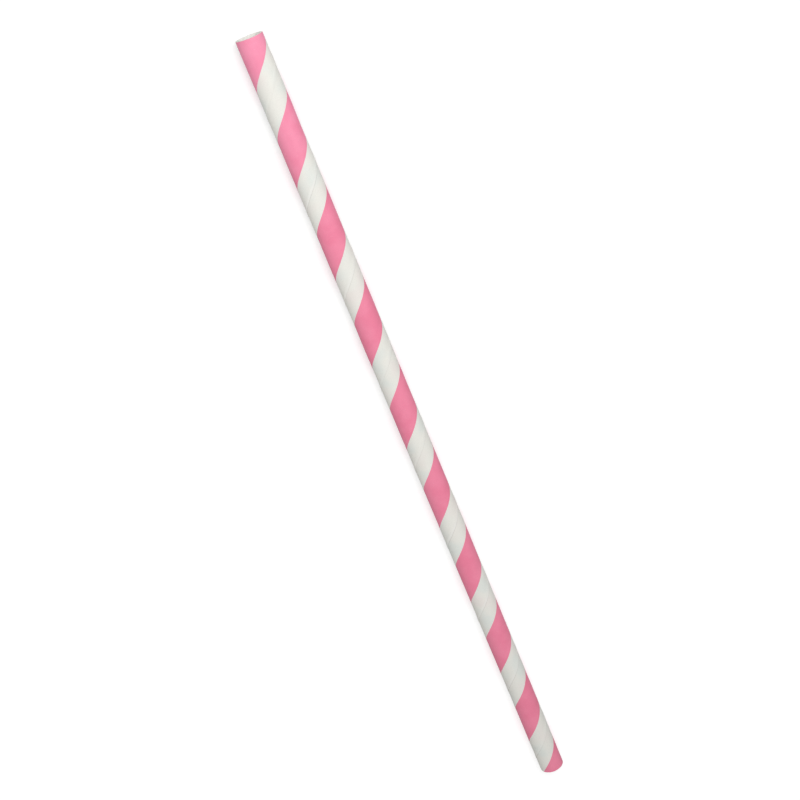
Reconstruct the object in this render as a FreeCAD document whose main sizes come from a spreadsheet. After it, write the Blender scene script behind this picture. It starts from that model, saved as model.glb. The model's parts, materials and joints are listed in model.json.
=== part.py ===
import FreeCAD, Part
import os
import Sketcher

# A paper drinking straw at real size, in millimetres: strips of paper wound round a mandrel in a steep
# spiral, glued into one endless tube and cut square to length. The outer strip's edge laps over its own
# last turn, which leaves a low spiral ridge outside. The innermost strip's edges meet in a narrow gap,
# which leaves a spiral groove inside.
# The straw lies on the ground along X with its drinking end at -X. The origin is on the ground under the
# middle of the straw. The top line is the line along the straw that lies highest.

DRIVING_SIZES = {
    "straw_length": 197.0,  # cut length, end to end
    "outer_diameter": 6.0,  # over the outer strip, clear of its lap
    "wall": 0.4,  # all plies together
    "ply_count": 3.0,  # strips wound over each other
    "strip_lead": 22.0,  # how far a strip climbs along the straw in one turn
    "lap_from_end": 11.9,  # drinking end to the lap's free edge, on the top line
    "lap_rise": 0.05,  # height of the lap over the outer strip
    "lap_width": 0.9,  # flat top of the lap, along the straw
    "lap_ramp": 0.6,  # slope that leads up to the lap, along the straw
    "gap_from_end": 3.4,  # drinking end to the middle of the inner gap, on the top line
    "gap_width": 0.3,  # inner gap, along the straw
}

# Places in the body, counted along the tube from the raw end and outwards from its axis.
TRIM = "2 * sizes.strip_lead"  # waste at each end of the wound tube, cut off with its loose turns
RAW_LENGTH = f"sizes.straw_length + 2 * {TRIM}"
WOUND_LENGTH = "sizes.straw_length + 2 * sizes.strip_lead"  # a spiral this long runs past both cuts
FIRST_TURN = "sizes.strip_lead"  # the last whole turn before the drinking end's cut starts here
OUTER_RADIUS = "sizes.outer_diameter / 2"
BORE_RADIUS = f"({OUTER_RADIUS} - sizes.wall)"
MID_WALL = f"({OUTER_RADIUS} - sizes.wall / 2)"
GROOVE_FLOOR = f"({BORE_RADIUS} + sizes.wall / sizes.ply_count)"
HALF_BORE = f"({BORE_RADIUS} / 2)"
KNIFE_REACH = "sizes.outer_diameter"

START, END, CENTRE = 1, 2, 3  # points of a sketch line or circle
ORIGIN_POINT = (-1, 1)


def add_sizes(doc):
    """The sheet of driving sizes, each under its own name."""
    sheet = doc.addObject("Spreadsheet::Sheet", "sizes")
    for row, (name, value) in enumerate(DRIVING_SIZES.items(), start=1):
        sheet.set(f"A{row}", name)
        sheet.set(f"B{row}", str(value))
        sheet.setAlias(f"B{row}", name)
    doc.recompute()


def add_sketch(body, name, plane_role):
    """An empty sketch on one of the body's own origin planes."""
    plane = next(item for item in body.Origin.OriginFeatures if item.Role == plane_role)
    sketch = body.newObject("Sketcher::SketchObject", name)
    sketch.AttachmentSupport = [(plane, "")]
    sketch.MapMode = "FlatFace"
    return sketch


def bind(sketch, constraint, expression):
    """Add a dimension whose value follows an expression."""
    index = sketch.addConstraint(constraint)
    sketch.setExpression(f"Constraints[{index}]", expression)


def add_circle(sketch, radius):
    """A circle round the sketch's origin, with its radius given as an expression."""
    value = sketch.evalExpression(radius)
    circle = Part.Circle(FreeCAD.Vector(), FreeCAD.Vector(0, 0, 1), value)
    index = sketch.addGeometry(circle, False)
    sketch.addConstraint(Sketcher.Constraint("Coincident", index, CENTRE, *ORIGIN_POINT))
    bind(sketch, Sketcher.Constraint("Radius", index, value), radius)


def add_outline(sketch, corners):
    """A closed outline of straight lines. Each corner is two expressions: along the tube, and outwards."""
    places = [FreeCAD.Vector(*map(sketch.evalExpression, corner), 0) for corner in corners]
    first = sketch.GeometryCount
    for place, following in zip(places, places[1:] + places[:1]):
        sketch.addGeometry(Part.LineSegment(place, following), False)
    for number, ((along, outwards), place) in enumerate(zip(corners, places)):
        line = first + number
        previous = first + (number - 1) % len(corners)
        sketch.addConstraint(Sketcher.Constraint("Coincident", previous, END, line, START))
        bind(sketch, Sketcher.Constraint("DistanceX", *ORIGIN_POINT, line, START, place.x), along)
        bind(sketch, Sketcher.Constraint("DistanceY", *ORIGIN_POINT, line, START, place.y), outwards)


def add_feature(body, kind, name, profile):
    """A feature drawn from a profile. Round faces stay parted turn by turn, not merged into one long strip."""
    feature = body.newObject(kind, name)
    feature.Profile = profile
    feature.Refine = False
    return feature


def add_spiral(body, kind, name, profile):
    """Sweep a profile round the tube at the strip's lead, right-handed, from one end past the other."""
    spiral = add_feature(body, kind, name, profile)
    spiral.ReferenceAxis = (profile, ["H_Axis"])
    spiral.Mode = "pitch-height-angle"
    spiral.Angle = 0
    spiral.LeftHanded = False
    spiral.setExpression("Pitch", "sizes.strip_lead")
    spiral.setExpression("Height", WOUND_LENGTH)


def wind_tube(body):
    """The wound tube before it is cut: a plain wall, longer than the straw by the waste at each end."""
    ring = add_sketch(body, "wall_ring", "YZ_Plane")
    add_circle(ring, OUTER_RADIUS)
    add_circle(ring, BORE_RADIUS)
    tube = add_feature(body, "PartDesign::Pad", "wound_wall", ring)
    tube.setExpression("Length", RAW_LENGTH)


def lap_outer_strip(body):
    """The lap of the outer strip: a slope, a flat top and a sharp free edge that faces the far end."""
    edge = f"{FIRST_TURN} + mod(sizes.lap_from_end; sizes.strip_lead)"
    crest = f"{OUTER_RADIUS} + sizes.lap_rise"
    profile = add_sketch(body, "lap_profile", "XZ_Plane")
    add_outline(profile, [
        (f"{edge} - sizes.lap_width - sizes.lap_ramp", MID_WALL),
        (f"{edge} - sizes.lap_width - sizes.lap_ramp", OUTER_RADIUS),
        (f"{edge} - sizes.lap_width", crest),
        (edge, crest),
        (edge, MID_WALL),
    ])
    add_spiral(body, "PartDesign::AdditiveHelix", "outer_lap", profile)


def part_inner_strip(body):
    """The gap between the innermost strip's edges: a groove one ply deep in the bore."""
    middle = f"{FIRST_TURN} + mod(sizes.gap_from_end; sizes.strip_lead)"
    profile = add_sketch(body, "gap_profile", "XZ_Plane")
    add_outline(profile, [
        (f"{middle} - sizes.gap_width / 2", HALF_BORE),
        (f"{middle} + sizes.gap_width / 2", HALF_BORE),
        (f"{middle} + sizes.gap_width / 2", GROOVE_FLOOR),
        (f"{middle} - sizes.gap_width / 2", GROOVE_FLOOR),
    ])
    add_spiral(body, "PartDesign::SubtractiveHelix", "inner_gap", profile)


def cut_to_length(body):
    """Two square cuts that take off the waste and leave the wall, the lap and the groove flush."""
    knife = add_sketch(body, "end_cuts", "XZ_Plane")
    for near, far in (("0", TRIM), (f"{TRIM} + sizes.straw_length", RAW_LENGTH)):
        add_outline(knife, [
            (near, f"-{KNIFE_REACH}"),
            (far, f"-{KNIFE_REACH}"),
            (far, KNIFE_REACH),
            (near, KNIFE_REACH),
        ])
    cuts = add_feature(body, "PartDesign::Pocket", "square_ends", knife)
    cuts.Type = "ThroughAll"
    cuts.SideType = "Symmetric"


def build_straw(doc):
    """The whole straw, one piece of wound paper."""
    straw = doc.addObject("PartDesign::Body", "straw_tube")
    straw.Label = "straw_tube"
    wind_tube(straw)
    doc.recompute()
    lap_outer_strip(straw)
    part_inner_strip(straw)
    cut_to_length(straw)
    straw.setExpression("Placement.Base.x", f"-({TRIM}) - sizes.straw_length / 2")
    straw.setExpression("Placement.Base.z", f"{OUTER_RADIUS} + sizes.lap_rise")
    return straw


def check(doc, parts):
    """Stop on any failed feature and on any sub-part that isn't one sound solid."""
    for item in doc.Objects:
        if {"Invalid", "Error"} & set(item.State):
            raise RuntimeError(f"{item.Name}: {item.State}")
    for part in parts:
        shape = part.Shape
        if shape.isNull() or not shape.isValid() or len(shape.Solids) != 1:
            raise RuntimeError(f"{part.Label} is not one sound solid")
        print(f"{part.Label}: {shape.Volume:.2f} cubic millimetres, {len(shape.Faces)} faces")


def main():
    doc = FreeCAD.newDocument("paper_straw")
    add_sizes(doc)
    parts = [build_straw(doc)]
    doc.recompute()
    check(doc, parts)
    os.makedirs("parts", exist_ok=True)
    for part in parts:
        part.Shape.exportStep(f"parts/{part.Label}.step")


main()
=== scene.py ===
import json
from math import pi, radians

import bpy
from mathutils import Euler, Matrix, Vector


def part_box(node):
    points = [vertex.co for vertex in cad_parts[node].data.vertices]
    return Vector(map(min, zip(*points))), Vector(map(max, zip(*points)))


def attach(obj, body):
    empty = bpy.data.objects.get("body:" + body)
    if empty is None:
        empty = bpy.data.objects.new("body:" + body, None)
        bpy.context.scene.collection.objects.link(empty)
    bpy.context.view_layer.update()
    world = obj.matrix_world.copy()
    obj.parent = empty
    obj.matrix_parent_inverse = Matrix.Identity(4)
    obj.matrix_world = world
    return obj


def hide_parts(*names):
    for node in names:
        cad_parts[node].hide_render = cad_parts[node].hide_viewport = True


# A paper straw in metres, lying along X on the floor with its drinking end at -X.
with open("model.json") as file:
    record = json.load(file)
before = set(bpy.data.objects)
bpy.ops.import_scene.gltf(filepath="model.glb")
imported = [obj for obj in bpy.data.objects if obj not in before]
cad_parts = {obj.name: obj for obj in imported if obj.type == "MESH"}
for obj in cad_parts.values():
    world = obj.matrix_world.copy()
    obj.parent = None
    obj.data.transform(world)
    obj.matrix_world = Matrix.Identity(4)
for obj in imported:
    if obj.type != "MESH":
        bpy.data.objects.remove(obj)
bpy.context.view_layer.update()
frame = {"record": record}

# sizes that the CAD part states
low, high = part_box("straw_tube")
mounts = {mount["name"]: mount for mount in frame["record"]["mounts"]}
boreRadius = mounts["bore"]["dims"]["r_mm"] / 1000
outerRadius = mounts["outside"]["dims"]["r_mm"] / 1000
axisHeight = mounts["bore"]["pos_m"][2]
lapRise = (high.z - low.z) / 2 - outerRadius
drinkingEnd, farEnd = low.x, high.x
print("frame loaded, straw", round((farEnd - drinkingEnd) * 1000, 1), "mm long")


def deselectAll():
    if bpy.context.mode != "OBJECT":
        bpy.ops.object.mode_set(mode="OBJECT")
    bpy.ops.object.select_all(action="DESELECT")


def selectParts(piece, kind, test):
    # leaves the piece in edit mode with only the vertices or faces that pass the test selected
    deselectAll()
    piece.select_set(True)
    bpy.context.view_layer.objects.active = piece
    bpy.ops.object.mode_set(mode="EDIT")
    bpy.ops.mesh.select_mode(type=kind)
    bpy.ops.mesh.select_all(action="DESELECT")
    bpy.ops.object.mode_set(mode="OBJECT")
    for part in piece.data.vertices if kind == "VERT" else piece.data.polygons:
        part.select = test(part)
    bpy.ops.object.mode_set(mode="EDIT")


strawPaper = {
    "stripLead": 0.022,        # how far a strip climbs in one turn
    "lapFromEnd": 0.0119,      # drinking end to the lap's free edge, on the top line
    "lapWidth": 0.0009,        # flat top of the lap
    "lapRamp": 0.0006,         # slope up to the lap
    "rampCurve": ((0, 0), (0.25, 0.12), (0.5, 0.5), (0.75, 0.88), (1, 1)),   # share of the slope, of the rise
    "edgeRounding": 0.00002,   # of the lap's free edge
    "gapFromEnd": 0.0034,      # drinking end to the middle of the inner gap, on the top line
    "gapWidth": 0.0003,
    "plyCount": 3,
    "underEdges": (0.31, 0.66),   # where edges of the strips below show, in leads past the lap
    "underWidth": 0.0009,
    "underDepth": 0.000018,
    "stepsPerTurn": 96,
    "outsideGrid": 0.0011,     # longest stretch of the outside along the straw
    "insideGrid": 0.0024,
    "smoothUnder": 35,         # degrees, sharper edges stay crisp
    "unevenness": 0.00009,     # soft waves of the wound wall
    "unevenSpan": 0.0055,
    "cutRoughness": 0.00003,   # how ragged the knife leaves the ends
    "cutReach": 0.000005,      # how far in from the cut it tears
    "cutSeed": 4,
}
plyThickness = (outerRadius - boreRadius) / strawPaper["plyCount"]
lapEdge = drinkingEnd + strawPaper["lapFromEnd"]    # the lap's free edge on the top line
gapMiddle = drinkingEnd + strawPaper["gapFromEnd"]
wasteTurns = 2             # wound before the drinking end, then cut off
outsideTurns, insideTurns = 11, 12   # enough to run past the far end too
samePoint = 0.000002       # points closer than this are merged
onCut = 0.000001           # points closer than this to a cut lie on it


def fillIn(stops, grid):
    # more points on the long stretches, so that the wall can bend
    points = [stops[0]]
    for start, end in zip(stops, stops[1:]):
        count = max(1, round(abs(end[0] - start[0]) / grid))
        for step in range(1, count + 1):
            share = step / count
            points.append((start[0] + (end[0] - start[0]) * share, start[1] + (end[1] - start[1]) * share))
    return points


def outsideSection():
    # from the foot of one turn's free edge to the crest of the next
    lead = strawPaper["stripLead"]
    start = lapEdge - wasteTurns * lead
    edge = start + lead
    crest = outerRadius + lapRise
    rampFoot = edge - strawPaper["lapWidth"] - strawPaper["lapRamp"]
    half, depth = strawPaper["underWidth"] / 2, strawPaper["underDepth"]
    rounding = strawPaper["edgeRounding"]
    stops = [(start, outerRadius)]
    for share in strawPaper["underEdges"]:
        middle = start + share * lead
        stops += [(middle - half, outerRadius), (middle - half / 4, outerRadius - depth),
                  (middle + half / 4, outerRadius - depth), (middle + half, outerRadius)]
    for share, rise in strawPaper["rampCurve"]:
        stops.append((rampFoot + share * strawPaper["lapRamp"], outerRadius + rise * lapRise))
    stops += [(edge - 3 * rounding, crest), (edge - rounding, crest - 0.4 * rounding),
              (edge, crest - rounding), (edge, outerRadius)]
    return fillIn(stops, strawPaper["outsideGrid"])


def insideSection():
    # one lead of the bore, with the gap between the innermost strip's edges
    lead = strawPaper["stripLead"]
    start = gapMiddle - (wasteTurns + 0.5) * lead
    left = gapMiddle - wasteTurns * lead - strawPaper["gapWidth"] / 2
    right = left + strawPaper["gapWidth"]
    floor = boreRadius + plyThickness
    stops = [(start, boreRadius), (left, boreRadius), (left, floor), (right, floor),
             (right, boreRadius), (start + lead, boreRadius)]
    return fillIn(stops, strawPaper["insideGrid"])


def drawLine(name, points):
    # one vertex at the first point, extruded on to each of the others
    deselectAll()
    firstX, firstR = points[0]
    bpy.ops.mesh.primitive_plane_add(size=0.001, location=(firstX, 0, firstR))
    line = bpy.context.active_object
    line.name = name
    bpy.ops.object.transform_apply(location=True)
    bpy.ops.object.mode_set(mode="EDIT")
    bpy.ops.mesh.select_all(action="SELECT")
    bpy.ops.mesh.merge(type="CENTER")
    for here, there in zip(points, points[1:]):
        move = (there[0] - here[0], 0, there[1] - here[1])
        bpy.ops.mesh.extrude_vertices_move(TRANSFORM_OT_translate={"value": move})
    bpy.ops.object.mode_set(mode="OBJECT")
    return line


def windStrip(name, points, turns):
    # winds one lead of section round the X axis into a tube and cuts both ends square
    skin = drawLine(name, points)
    winding = skin.modifiers.new("winding", "SCREW")
    winding.axis = "X"
    winding.angle = 2 * pi
    winding.screw_offset = strawPaper["stripLead"]
    winding.steps = strawPaper["stepsPerTurn"]
    winding.render_steps = strawPaper["stepsPerTurn"]
    winding.iterations = turns
    bpy.ops.object.modifier_apply(modifier=winding.name)
    bpy.ops.object.mode_set(mode="EDIT")
    bpy.ops.mesh.select_all(action="SELECT")
    bpy.ops.mesh.remove_doubles(threshold=samePoint)
    for place, direction in ((drinkingEnd, -1), (farEnd, 1)):
        bpy.ops.mesh.select_all(action="SELECT")
        bpy.ops.mesh.bisect(plane_co=(place, 0, 0), plane_no=(direction, 0, 0), clear_outer=True,
                            threshold=onCut)
    bpy.ops.object.mode_set(mode="OBJECT")
    return skin


outside = windStrip("strawPaper", outsideSection(), outsideTurns)
inside = windStrip("strawBore", insideSection(), insideTurns)
print("skins wound:", len(outside.data.polygons), "and", len(inside.data.polygons), "faces")

# outside and bore become one closed wall, joined by a ring of faces at each cut
deselectAll()
inside.select_set(True)
outside.select_set(True)
bpy.context.view_layer.objects.active = outside
bpy.ops.object.join()
straw = bpy.context.active_object
for place in (drinkingEnd, farEnd):
    selectParts(straw, "VERT", lambda vertex: abs(vertex.co.x - place) < onCut)
    bpy.ops.mesh.fill(use_beauty=True)
bpy.ops.mesh.select_all(action="SELECT")
bpy.ops.mesh.normals_make_consistent(inside=False)

# the knife leaves the cut a little ragged
selectParts(straw, "VERT", lambda vertex: min(
    vertex.co.x - drinkingEnd, farEnd - vertex.co.x) < strawPaper["cutReach"])
bpy.ops.transform.vertex_random(offset=strawPaper["cutRoughness"], uniform=0.3, seed=strawPaper["cutSeed"])
bpy.ops.mesh.select_all(action="SELECT")
bpy.ops.transform.translate(value=(0, 0, axisHeight))
bpy.ops.object.mode_set(mode="OBJECT")

# a hand-light unevenness that moves both skins alike
waves = bpy.data.textures.new("wallWaves", "CLOUDS")
waves.cloud_type = "COLOR"
waves.noise_scale = strawPaper["unevenSpan"]
waves.noise_depth = 1
bend = straw.modifiers.new("wallWaves", "DISPLACE")
bend.texture = waves
bend.texture_coords = "LOCAL"
bend.direction = "RGB_TO_XYZ"
bend.strength = strawPaper["unevenness"]
bend.mid_level = 0.5
bpy.ops.object.modifier_apply(modifier=bend.name)
bpy.ops.object.shade_smooth_by_angle(angle=radians(strawPaper["smoothUnder"]))
print("straw wall closed:", len(straw.data.vertices), "vertices")


def addNode(tree, kind, inputs=None, **settings):
    # inputs by name or number, each a value or another node's output
    made = tree.nodes.new(kind)
    for key, value in settings.items():
        setattr(made, key, value)
    for key, value in (inputs or {}).items():
        if isinstance(value, bpy.types.NodeSocket):
            tree.links.new(value, made.inputs[key])
        else:
            made.inputs[key].default_value = value
    return made


def doMath(tree, operation, *values):
    return addNode(tree, "ShaderNodeMath", dict(enumerate(values)), operation=operation).outputs[0]


def fromHalf(tree, value):
    return doMath(tree, "ABSOLUTE", doMath(tree, "SUBTRACT", value, 0.5))


def fromWhole(tree, value):
    # how far the value is from the nearest whole number
    return fromHalf(tree, doMath(tree, "FRACT", doMath(tree, "ADD", value, 0.5)))


def fadeRange(tree, value, start, end, atStart=0.0, atEnd=1.0):
    ramp = addNode(tree, "ShaderNodeMapRange",
                   {"Value": value, "From Min": start, "From Max": end, "To Min": atStart, "To Max": atEnd},
                   interpolation_type="SMOOTHSTEP")
    return ramp.outputs["Result"]


def mixColours(tree, share, first, second, blend="MIX"):
    # 0, 6 and 7 are the Mix node's sockets for the share and the two colours
    return addNode(tree, "ShaderNodeMix", {0: share, 6: first, 7: second}, data_type="RGBA",
                   blend_type=blend).outputs[2]


def greyOf(tree, value):
    return addNode(tree, "ShaderNodeCombineColor", {0: value, 1: value, 2: value}).outputs[0]


def makeNoise(tree, place, perMetre, detail=2.0, roughness=0.5):
    noise = addNode(tree, "ShaderNodeTexNoise",
                    {"Vector": place, "Scale": perMetre, "Detail": detail, "Roughness": roughness})
    return noise.outputs["Fac"]


def startGroup(name, inputs, outputs):
    group = bpy.data.node_groups.new(name, "ShaderNodeTree")
    for socketName, kind, value in inputs:
        socket = group.interface.new_socket(socketName, in_out="INPUT", socket_type=kind)
        if value is not None:
            socket.default_value = value
    for socketName, kind in outputs:
        group.interface.new_socket(socketName, in_out="OUTPUT", socket_type=kind)
    return group, group.nodes.new("NodeGroupInput").outputs, group.nodes.new("NodeGroupOutput").inputs


def makeWindingGroup():
    # Across runs from 0 to 1 over one lead, from the edge given on the top line
    group, given, result = startGroup(
        "windingPlace",
        [("Place", "NodeSocketVector", None), ("Edge", "NodeSocketFloat", lapEdge),
         ("Lead", "NodeSocketFloat", strawPaper["stripLead"])],
        [("Across", "NodeSocketFloat"), ("Radius", "NodeSocketFloat")])
    parts = addNode(group, "ShaderNodeSeparateXYZ", {"Vector": given["Place"]}).outputs
    up = doMath(group, "SUBTRACT", parts["Z"], axisHeight)
    side = doMath(group, "MULTIPLY", parts["Y"], -1.0)
    turn = doMath(group, "DIVIDE", doMath(group, "ARCTAN2", side, up), 2 * pi)
    climb = doMath(group, "DIVIDE", doMath(group, "SUBTRACT", parts["X"], given["Edge"]), given["Lead"])
    group.links.new(doMath(group, "FRACT", doMath(group, "SUBTRACT", climb, turn)), result["Across"])
    squares = doMath(group, "ADD", doMath(group, "MULTIPLY", up, up), doMath(group, "MULTIPLY", side, side))
    group.links.new(doMath(group, "SQRT", squares), result["Radius"])
    return group


grainLooks = {
    "fibresPerMetre": 7000.0,
    "cloudsPerMetre": 260.0,
    "fineShare": 0.75,         # of the grain's height, the rest is broad
}


def makeGrainGroup():
    # paper fibres, and the soft cloudiness of the sheet
    group, given, result = startGroup(
        "paperGrain",
        [("Place", "NodeSocketVector", None),
         ("Fibres per Metre", "NodeSocketFloat", grainLooks["fibresPerMetre"]),
         ("Clouds per Metre", "NodeSocketFloat", grainLooks["cloudsPerMetre"])],
        [("Fibres", "NodeSocketFloat"), ("Clouds", "NodeSocketFloat"), ("Height", "NodeSocketFloat")])
    fibres = makeNoise(group, given["Place"], given["Fibres per Metre"], 4.0, 0.65)
    clouds = makeNoise(group, given["Place"], given["Clouds per Metre"])
    group.links.new(fibres, result["Fibres"])
    group.links.new(clouds, result["Clouds"])
    fine = doMath(group, "MULTIPLY", fibres, grainLooks["fineShare"])
    broad = doMath(group, "MULTIPLY", clouds, 1 - grainLooks["fineShare"])
    group.links.new(doMath(group, "ADD", fine, broad), result["Height"])
    return group


windingPlace = makeWindingGroup()
paperGrain = makeGrainGroup()


def startMaterial(name, roughness, bumpDepth):
    # the paper's shader, with its object place and a Bump waiting for a height
    material = bpy.data.materials.new(name)
    material.use_nodes = True
    tree = material.node_tree
    shader = tree.nodes["Principled BSDF"]
    shader.inputs["Roughness"].default_value = roughness
    shader.inputs["Specular IOR Level"].default_value = 0.25
    place = addNode(tree, "ShaderNodeTexCoord").outputs["Object"]
    bump = addNode(tree, "ShaderNodeBump", {"Strength": 1.0, "Distance": bumpDepth})
    tree.links.new(bump.outputs["Normal"], shader.inputs["Normal"])
    return material, tree, shader, place, bump


def useWinding(tree, place, edge):
    return addNode(tree, "ShaderNodeGroup", {"Place": place, "Edge": edge}, node_tree=windingPlace).outputs


def useGrain(tree, place):
    return addNode(tree, "ShaderNodeGroup", {"Place": place}, node_tree=paperGrain).outputs


printLooks = {
    "bumpDepth": 0.000012,
    "pink": (0.966, 0.325, 0.476, 1),
    "pinkDeep": (0.938, 0.286, 0.434, 1),
    "pinkFarShade": (0.950, 0.820, 0.830, 1),   # painted shade: how much darker the pink gets further along
    "farShadeReach": 0.055,        # how far along the painted shade is full
    "inkClouds": (0.35, 0.68),
    "pinholesPerMetre": 5200.0,
    "pinholeCut": (0.68, 0.76),
    "pinholeFade": 0.35,
    "white": (0.850, 0.840, 0.782, 1),
    "whiteCool": (0.800, 0.825, 0.778, 1),
    "whiteWarm": (0.862, 0.818, 0.772, 1),
    "tintPerMetre": 190.0,
    "tintSpread": 0.22,        # noise to either side of the middle that is fully warm or cool
    "stripeWidth": 0.5,        # share of the lead that is printed
    "edgeBlur": 0.0012,        # in leads
    "edgeWander": 0.004,
    "wanderPerMetre": 1400.0,
    # painted shade along the foot of the lap's free edge
    "paintedSeamShade": (0.36, 0.33, 0.30, 1),
    "seamShadeReach": 0.012,        # in leads past the lap's free edge
    "seamShadeStrength": 0.36,          # strength of the painted shade where the lap lies loosest
    # painted highlight along the lap's crest
    "paintedCrestHighlight": (0.93, 0.92, 0.88, 1),
    "crestHighlightReach": (0.955, 0.985),   # in leads, the last of the slope and the crest
    "crestHighlightStrength": 0.55,
    "seamTight": 0.35,         # share of both that is left where it lies tight
    "loosePerMetre": 45.0,
    "looseCut": (0.38, 0.60),
    "seamPressed": (0.012, 0.030),   # from the drinking end, where its press on the lap wears off
    "seamLeft": 0.15,          # what that press leaves of it
    "fibreTone": (0.955, 1.03),
    "roughBare": 0.72,
    "roughInk": 0.58,          # ink lies a little smoother than the bare paper
    "roughFibres": 0.06,
}


def makePrintedPaper():
    looks = printLooks
    material, tree, shader, place, bump = startMaterial("printedPaper", looks["roughBare"], looks["bumpDepth"])
    across = useWinding(tree, place, lapEdge)["Across"]
    grain = useGrain(tree, place)
    along = addNode(tree, "ShaderNodeSeparateXYZ", {"Vector": place}).outputs["X"]

    # the stripe lies in the middle of the strip, its edges wander a hair
    sway = doMath(tree, "SUBTRACT", makeNoise(tree, place, looks["wanderPerMetre"]), 0.5)
    wander = doMath(tree, "MULTIPLY", sway, looks["edgeWander"])
    fromMiddle = fromHalf(tree, doMath(tree, "ADD", across, wander))
    half, blur = looks["stripeWidth"] / 2, looks["edgeBlur"]
    stripe = fadeRange(tree, fromMiddle, half - blur, half + blur, 1.0, 0.0)

    # ink: deeper in places, with pinholes where it missed a hollow; further along, a painted shade darkens it
    pink = mixColours(tree, fadeRange(tree, grain["Clouds"], *looks["inkClouds"]), looks["pink"],
                      looks["pinkDeep"])
    # painted shade: the pink darkens towards the far end
    farShade = fadeRange(tree, along, drinkingEnd, drinkingEnd + looks["farShadeReach"])
    pink = mixColours(tree, farShade, pink, looks["pinkFarShade"], "MULTIPLY")
    pinholes = fadeRange(tree, makeNoise(tree, place, looks["pinholesPerMetre"]), *looks["pinholeCut"],
                         0.0, looks["pinholeFade"])
    pink = mixColours(tree, pinholes, pink, looks["white"])

    # bare paper: cloudy, warm here and cool there
    tint = makeNoise(tree, place, looks["tintPerMetre"], 1.0)
    warm = fadeRange(tree, tint, 0.5, 0.5 + looks["tintSpread"])
    cool = fadeRange(tree, tint, 0.5, 0.5 - looks["tintSpread"])
    white = mixColours(tree, warm, looks["white"], looks["whiteWarm"])
    white = mixColours(tree, cool, white, looks["whiteCool"])
    colour = mixColours(tree, stripe, white, pink)

    # a painted shade at the foot of the lap and a painted highlight on its crest, both fainter where the lap
    # lies tight
    loose = fadeRange(tree, makeNoise(tree, place, looks["loosePerMetre"], 1.0), *looks["looseCut"],
                      looks["seamTight"])
    pressedFrom, pressedTo = looks["seamPressed"]
    loose = doMath(tree, "MULTIPLY", loose, fadeRange(
        tree, along, drinkingEnd + pressedFrom, drinkingEnd + pressedTo, looks["seamLeft"]))
    # painted shade: a dark line along the foot of the lap's free edge
    paintedSeamShade = fadeRange(tree, across, looks["seamShadeReach"], 0.0, 0.0, looks["seamShadeStrength"])
    colour = mixColours(tree, doMath(tree, "MULTIPLY", loose, paintedSeamShade), colour, looks["paintedSeamShade"])
    # painted highlight: a light line on the lap's crest
    paintedCrestHighlight = fadeRange(tree, across, *looks["crestHighlightReach"], 0.0, looks["crestHighlightStrength"])
    colour = mixColours(tree, doMath(tree, "MULTIPLY", loose, paintedCrestHighlight), colour, looks["paintedCrestHighlight"])

    # the fibres over all
    fibreTone = fadeRange(tree, grain["Fibres"], 0.3, 0.7, *looks["fibreTone"])
    colour = mixColours(tree, 1.0, colour, greyOf(tree, fibreTone), "MULTIPLY")
    tree.links.new(colour, shader.inputs["Base Color"])

    inked = doMath(tree, "MULTIPLY", stripe, looks["roughBare"] - looks["roughInk"])
    fibred = doMath(tree, "MULTIPLY", grain["Fibres"], looks["roughFibres"])
    rough = doMath(tree, "ADD", doMath(tree, "SUBTRACT", looks["roughBare"], inked), fibred)
    tree.links.new(rough, shader.inputs["Roughness"])
    tree.links.new(grain["Height"], bump.inputs["Height"])
    return material


barePaperLooks = {
    "roughness": 0.8,
    "bumpDepth": 0.00002,
    "white": (0.930, 0.922, 0.878, 1),
    "shade": (0.875, 0.858, 0.802, 1),
    "fibreShade": 0.3,
    "gapLine": (0.420, 0.380, 0.330, 1),
    "gapReach": (0.012, 0.006),   # in leads from the gap's middle
    "gapFade": 0.55,
}


def makeBarePaper():
    # the innermost strip, with a darker line along the gap between its edges
    looks = barePaperLooks
    material, tree, shader, place, bump = startMaterial("barePaper", looks["roughness"], looks["bumpDepth"])
    across = useWinding(tree, place, gapMiddle)["Across"]
    grain = useGrain(tree, place)
    clouds = fadeRange(tree, grain["Clouds"], 0.3, 0.7)
    fibres = fadeRange(tree, grain["Fibres"], 0.5, 0.75, 0.0, looks["fibreShade"])
    gap = fadeRange(tree, fromWhole(tree, across), *looks["gapReach"], 0.0, looks["gapFade"])
    colour = mixColours(tree, clouds, looks["white"], looks["shade"])
    colour = mixColours(tree, fibres, colour, looks["shade"])
    colour = mixColours(tree, gap, colour, looks["gapLine"])
    tree.links.new(colour, shader.inputs["Base Color"])
    tree.links.new(grain["Height"], bump.inputs["Height"])
    return material


cutEdgeLooks = {
    "roughness": 0.85,
    "bumpDepth": 0.00004,
    "white": (0.880, 0.865, 0.810, 1),
    "fibreShade": 0.3,
    "glueLine": (0.560, 0.500, 0.420, 1),
    "glueWidth": 0.16,         # in plies
    "glueFade": 0.6,
    "glueClear": 0.4,          # plies at either face of the wall that have no glue line
    "wobble": 0.00008,         # how far the plies sway in and out
    "wobblePerMetre": 2600.0,
    "inkDepth": 0.00003,
}


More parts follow.
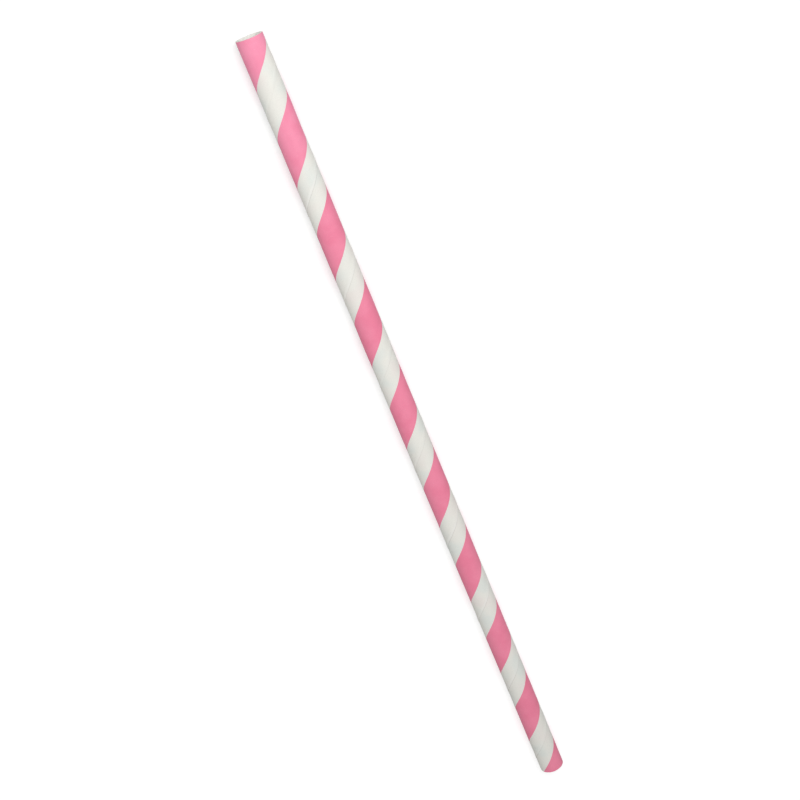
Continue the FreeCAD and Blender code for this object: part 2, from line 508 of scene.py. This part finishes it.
def makeCutEdge():
    # the plies seen end on, with glue lines between them and ink round the rim
    looks = cutEdgeLooks
    material, tree, shader, place, bump = startMaterial("cutEdge", looks["roughness"], looks["bumpDepth"])
    winding = useWinding(tree, place, lapEdge)
    grain = useGrain(tree, place)
    sway = doMath(tree, "SUBTRACT", makeNoise(tree, place, looks["wobblePerMetre"]), 0.5)
    radius = doMath(tree, "ADD", winding["Radius"], doMath(tree, "MULTIPLY", sway, looks["wobble"]))
    plies = doMath(tree, "DIVIDE", doMath(tree, "SUBTRACT", radius, boreRadius), plyThickness)
    within = doMath(tree, "MULTIPLY", doMath(tree, "GREATER_THAN", plies, looks["glueClear"]),
                    doMath(tree, "LESS_THAN", plies, strawPaper["plyCount"] - looks["glueClear"]))
    line = fadeRange(tree, fromWhole(tree, plies), looks["glueWidth"], 0.0, 0.0, looks["glueFade"])
    fibres = fadeRange(tree, grain["Fibres"], 0.35, 0.7, 0.0, looks["fibreShade"])
    colour = mixColours(tree, fibres, looks["white"], looks["glueLine"])
    colour = mixColours(tree, doMath(tree, "MULTIPLY", within, line), colour, looks["glueLine"])
    rim = fadeRange(tree, radius, outerRadius - looks["inkDepth"] * 2, outerRadius - looks["inkDepth"])
    printed = doMath(tree, "LESS_THAN", fromHalf(tree, winding["Across"]), printLooks["stripeWidth"] / 2)
    colour = mixColours(tree, doMath(tree, "MULTIPLY", rim, printed), colour, printLooks["pink"])
    tree.links.new(colour, shader.inputs["Base Color"])
    tree.links.new(grain["Height"], bump.inputs["Height"])
    return material


def radiusOf(face):
    return (face.center - Vector((face.center.x, 0, axisHeight))).length


def isCut(face):
    fromEnd = min(face.center.x - drinkingEnd, farEnd - face.center.x)
    return abs(face.normal.x) > 0.8 and fromEnd < 0.0002


# one material for the outside, one for the bore, and one for the cuts
for material in (makePrintedPaper(), makeBarePaper(), makeCutEdge()):
    straw.data.materials.append(material)
middleOfWall = (boreRadius + outerRadius) / 2
faceTests = (lambda face: radiusOf(face) > middleOfWall, lambda face: radiusOf(face) <= middleOfWall, isCut)
for slot, test in enumerate(faceTests):
    selectParts(straw, "FACE", test)
    straw.active_material_index = slot
    bpy.ops.object.material_slot_assign()
bpy.ops.object.mode_set(mode="OBJECT")
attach(straw, "root")
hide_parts("straw_tube")
print("paper printed")


stageLooks = {
    "floorSize": 4.0,
    "floorColour": (0.68, 0.68, 0.678, 1),
    "floorTone": 0.99,         # its darkest clouds
    "floorLift": 0.785,        # seen by the camera only, keeps the background white
    "poolSpot": (-0.13, 0.03, 0),   # where the lamp lights the floor most
    "poolLight": 0.42,         # what the lamp itself gives there, taken off the lift
    "poolRadius": 0.385,
    "sky": 0.42,
    "lampSize": 0.26,
    "lampPower": 1.08,
    "lampSpot": (-0.20, 0.05, 0.36),   # nearer to the drinking end, which it lights a little more
}


def makeFloor():
    deselectAll()
    bpy.ops.mesh.primitive_plane_add(size=stageLooks["floorSize"], location=(0, 0, 0))
    floor = bpy.context.active_object
    floor.name = "paleFloor"
    material = bpy.data.materials.new("paleFloor")
    material.use_nodes = True
    tree = material.node_tree
    shader = tree.nodes["Principled BSDF"]
    shader.inputs["Roughness"].default_value = 0.95
    shader.inputs["Specular IOR Level"].default_value = 0.0
    place = addNode(tree, "ShaderNodeTexCoord").outputs["Object"]
    tone = fadeRange(tree, makeNoise(tree, place, 6.0), 0.3, 0.7, stageLooks["floorTone"], 1.0)
    tree.links.new(mixColours(tree, 1.0, stageLooks["floorColour"], greyOf(tree, tone), "MULTIPLY"),
                   shader.inputs["Base Color"])

    # the lift is less where the lamp lights the floor, so that all of it is white and the shadow stays
    away = addNode(tree, "ShaderNodeVectorMath", {0: place, 1: stageLooks["poolSpot"]},
                   operation="DISTANCE").outputs["Value"]
    reach = doMath(tree, "POWER", doMath(tree, "DIVIDE", away, stageLooks["poolRadius"]), 2.0)
    pool = doMath(tree, "DIVIDE", stageLooks["poolLight"],
                  doMath(tree, "POWER", doMath(tree, "ADD", reach, 1.0), 2.0))
    lift = doMath(tree, "SUBTRACT", stageLooks["floorLift"], pool)
    seen = addNode(tree, "ShaderNodeLightPath").outputs["Is Camera Ray"]
    shader.inputs["Emission Color"].default_value = (1, 1, 1, 1)
    tree.links.new(doMath(tree, "MULTIPLY", seen, lift), shader.inputs["Emission Strength"])
    floor.data.materials.append(material)


def makeSky():
    # white where it is seen, softer as a light
    world = bpy.data.worlds.new("softSky")
    bpy.context.scene.world = world
    world.use_nodes = True
    tree = world.node_tree
    background = tree.nodes["Background"]
    background.inputs["Color"].default_value = (1, 1, 1, 1)
    paths = addNode(tree, "ShaderNodeLightPath").outputs
    seen = doMath(tree, "MAXIMUM", paths["Is Camera Ray"], paths["Is Transmission Ray"])
    seen = doMath(tree, "MAXIMUM", seen, paths["Is Glossy Ray"])
    tree.links.new(fadeRange(tree, seen, 0.0, 1.0, stageLooks["sky"], 1.0), background.inputs["Strength"])


makeFloor()
makeSky()
lampSpot = Vector(stageLooks["lampSpot"])
lampTurn = (-lampSpot).to_track_quat("-Z", "Y").to_euler()
bpy.ops.object.light_add(type="AREA", location=lampSpot, rotation=lampTurn)
lamp = bpy.context.active_object
lamp.name = "softBox"
lamp.data.size = stageLooks["lampSize"]
lamp.data.energy = stageLooks["lampPower"]
lamp.visible_camera = False

cameraView = {
    "beyondEnd": 0.0350,       # stands past the drinking end
    "height": 0.300,           # above the straw's axis
    "aimAt": -0.0113,          # place along the straw
    "lean": 22.6,              # degrees from upright, drinking end to the left
    "lens": 63.8,
    "clipStart": 0.01,
}
cameraSpot = Vector((drinkingEnd - cameraView["beyondEnd"], 0, axisHeight + cameraView["height"]))
lookAlong = Vector((cameraView["aimAt"], 0, axisHeight)) - cameraSpot
roll = Euler((0, 0, radians(180 - cameraView["lean"]))).to_quaternion()
turned = lookAlong.to_track_quat("-Z", "Y") @ roll
bpy.ops.object.camera_add(location=cameraSpot, rotation=turned.to_euler())
camera = bpy.context.active_object
camera.data.lens = cameraView["lens"]
camera.data.clip_start = cameraView["clipStart"]
bpy.context.scene.camera = camera
bpy.context.scene.view_settings.view_transform = "Standard"
print("stage, light and camera ready")
